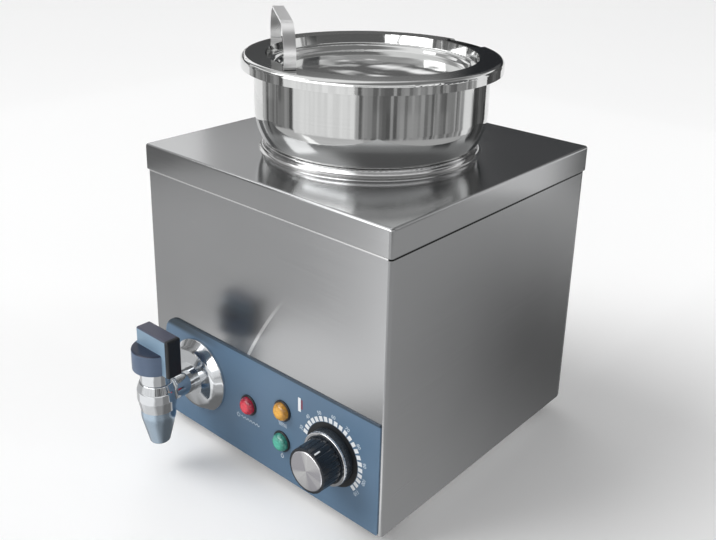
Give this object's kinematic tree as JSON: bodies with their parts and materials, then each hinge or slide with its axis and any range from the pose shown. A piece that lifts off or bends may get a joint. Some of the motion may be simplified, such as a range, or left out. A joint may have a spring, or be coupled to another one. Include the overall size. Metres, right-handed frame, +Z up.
{
  "type": "hot fudge topping warmer",
  "caption": "Square countertop wet-heat warmer: a round lidded pot hangs in a heated water tank, with a drain tap, signal lamps and a thermostat knob on the front.",
  "frame": {"origin": "on the surface that the feet stand on, under the middle of the outline", "axes": "+Z up, +X to the right seen from the front, +Y to the back"},
  "size_m": [0.2616, 0.3352, 0.3628],
  "materials": {
    "stainless": "satin brushed stainless sheet",
    "tank_steel": "plain stainless sheet",
    "polished_steel": "mirror-polished stainless",
    "screw_steel": "plain stainless",
    "element_sheath": "heat-tinted steel sheath",
    "foot_rubber": "black moulded rubber",
    "panel_blue": "blue-grey printed sheet",
    "black_plastic": "black moulded plastic",
    "red_lens": "clear red lens",
    "orange_lens": "clear orange lens",
    "green_lens": "clear green lens",
    "shaft_steel": "turned steel",
    "skirt_plastic": "dark blue-grey moulded plastic",
    "bright_trim": "bright metallised ring",
    "spun_aluminium": "spun face",
    "copper": "copper bulb and capillary",
    "cutout_plastic": "moulded phenolic",
    "block_plastic": "off-white moulded plastic",
    "tap_chrome": "bright chrome plating",
    "tap_brass": "turned brass",
    "handle_plastic": "blue-grey moulded plastic"
  },
  "bodies": {
    "housing": {"outer_casing": "stainless", "rear_panel": "stainless", "base_plate": "stainless", "feet": "foot_rubber", "foot_screws": "screw_steel", "rear_screws": "screw_steel", "top_cover": "stainless", "collar_ring": "polished_steel", "water_tank": "tank_steel", "heating_element": "element_sheath", "element_nuts": "screw_steel", "control_panel": "panel_blue", "lamp_housings": "black_plastic", "red_lamp_lens": "red_lens", "orange_lamp_lens": "orange_lens", "green_lamp_lens": "green_lens", "thermostat_body": "tank_steel", "thermostat_bulb": "copper", "bulb_clip": "tank_steel", "capillary_tube": "copper", "overheat_cutout": "cutout_plastic", "terminal_block": "block_plastic", "cable_gland": "black_plastic", "gland_nut": "black_plastic", "drain_spud": "tank_steel", "tap_lock_nut": "tap_brass", "tap_seal": "foot_rubber", "tap_escutcheon": "tap_chrome", "tap_body": "tap_chrome", "tap_spout": "tap_chrome", "tap_bonnet": "tap_chrome"},
    "pot": {"pot": "polished_steel"},
    "lid": {"lid": "polished_steel", "lid_handle": "polished_steel"},
    "tap_lever": {"tap_stem": "tap_brass", "tap_handle": "handle_plastic"},
    "knob": {"thermostat_shaft": "shaft_steel", "knob_skirt": "skirt_plastic", "knob_trim_ring": "bright_trim", "thermostat_knob": "black_plastic", "knob_cap": "spun_aluminium"}
  },
  "joints": [
    {"name": "pot_lift", "type": "slide", "parent": "housing", "child": "pot", "axis": [0, 0, 1], "range_m": [0, 0.2]},
    {"name": "lid_lift", "type": "slide", "parent": "pot", "child": "lid", "axis": [0, 0, 1], "range_m": [0, 0.1]},
    {"name": "tap_turn", "type": "hinge", "parent": "housing", "child": "tap_lever", "pos_m": [-0.07, -0.14905, 0.0954], "axis": [0, 0, 1], "range_deg": [-90, 0]},
    {"name": "thermostat_turn", "type": "hinge", "parent": "housing", "child": "knob", "pos_m": [0.081, -0.10555, 0.061], "axis": [0, 1, 0], "range_deg": [-130, 130]}
  ]
}
